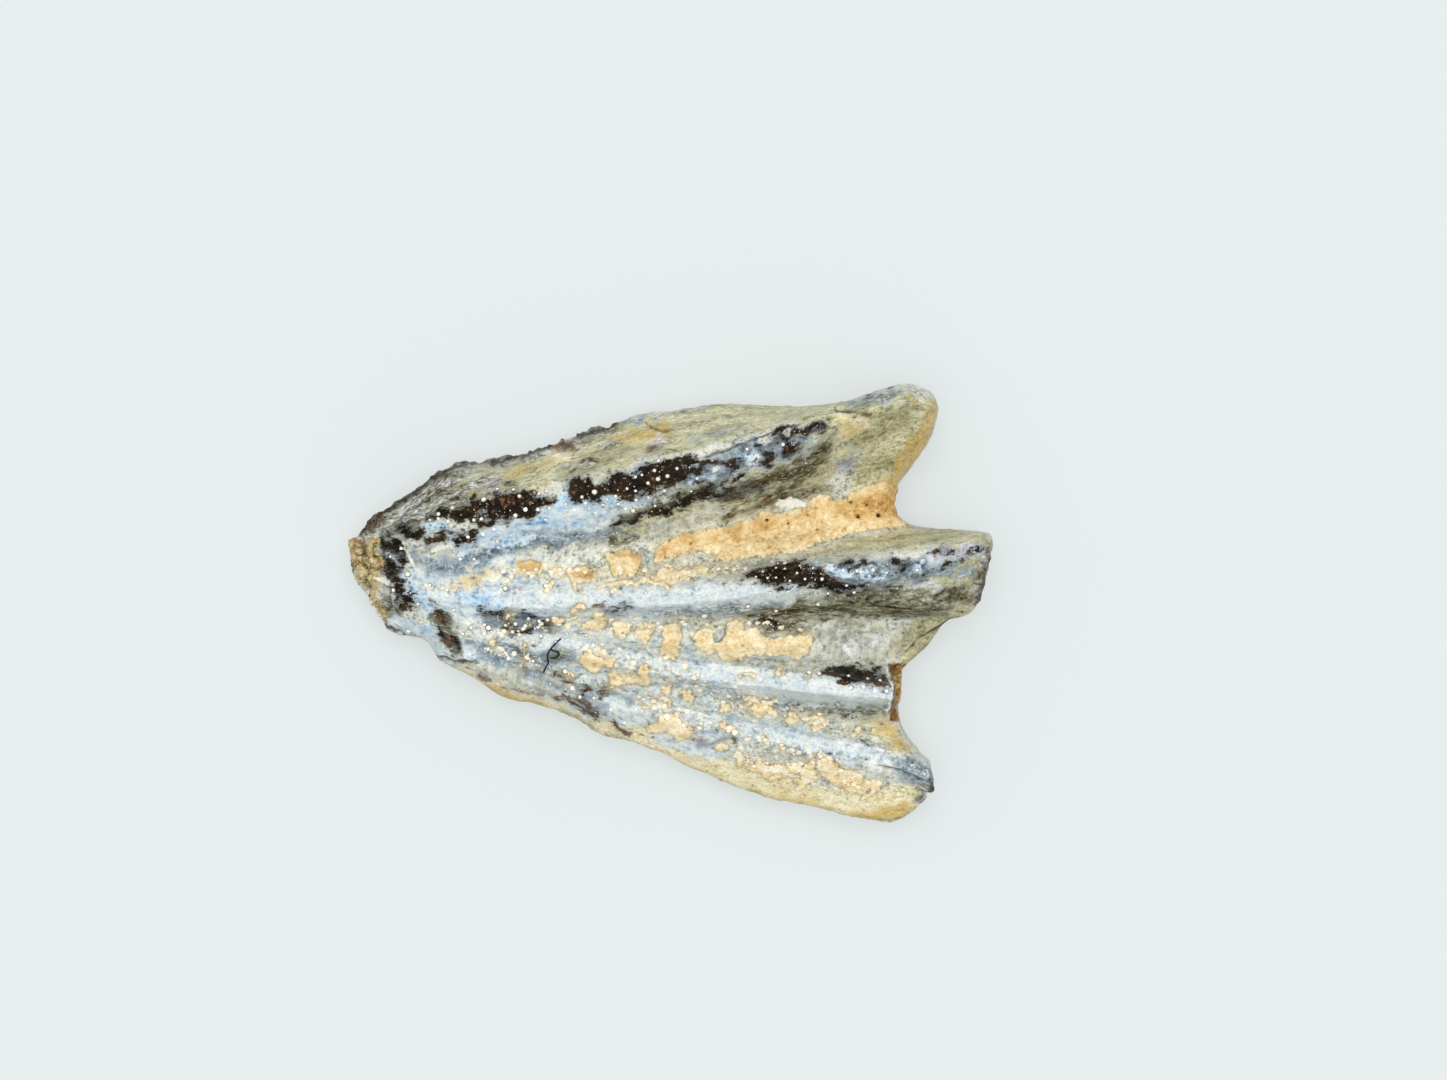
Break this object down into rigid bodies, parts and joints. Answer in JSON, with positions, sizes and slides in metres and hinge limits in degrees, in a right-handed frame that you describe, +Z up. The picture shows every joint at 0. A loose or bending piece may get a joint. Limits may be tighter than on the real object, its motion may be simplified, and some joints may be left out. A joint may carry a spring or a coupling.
{
  "type": "fossil lungfish tooth plate",
  "caption": "Fan-shaped fossil tooth plate lying on its base, with ridges that spread from a blunt bony apex to cusps on the opposite edge.",
  "frame": {"origin": "centre of the plate's outline at the level of its flat base", "axes": "+Z up, out of the chewing surface; +X from the bony apex to the cusped labial edge; +Y to the mesial side, which has the longest ridge"},
  "size_m": [0.0144, 0.0098, 0.0036],
  "materials": {
    "fossil_dentine": "glossy mottled fossil enamel over rough bone"
  },
  "bodies": {
    "root": {"tooth_plate": "fossil_dentine"}
  },
  "joints": []
}
